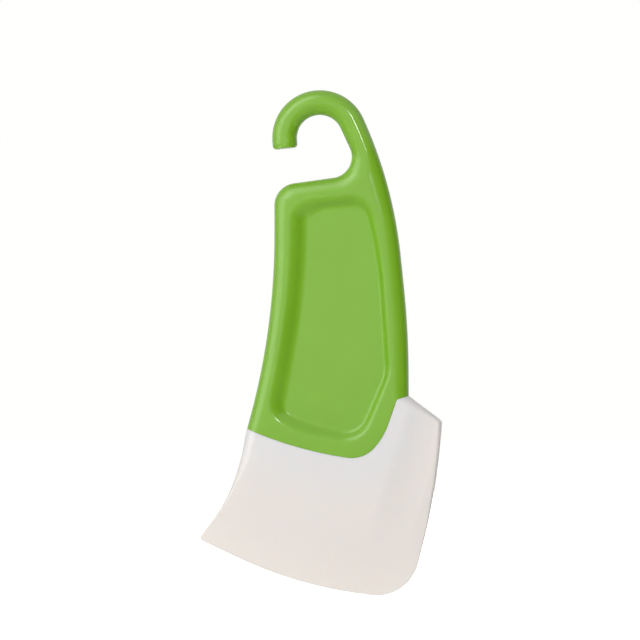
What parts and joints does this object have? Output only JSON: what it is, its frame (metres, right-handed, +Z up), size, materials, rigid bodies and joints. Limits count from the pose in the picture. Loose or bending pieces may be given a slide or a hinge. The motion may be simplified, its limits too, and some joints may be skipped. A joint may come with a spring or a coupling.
{
  "type": "pan scraper",
  "caption": "Flat hand scraper with an open hanging hook, a pocketed grip and a tapered white silicone blade with one sharp corner.",
  "frame": {"origin": "centre of the hook's seat, in the middle of the thickness", "axes": "+Z up along the hanging scraper, -Y out of its front face, +X to the right as seen from the front, towards the closed side of the hook"},
  "size_m": [0.087, 0.008, 0.182],
  "materials": {
    "grip": "gloss",
    "blade": "satin",
    "core": "matte"
  },
  "bodies": {
    "root": {"core": "core", "grip": "grip", "blade": "blade"}
  },
  "joints": []
}
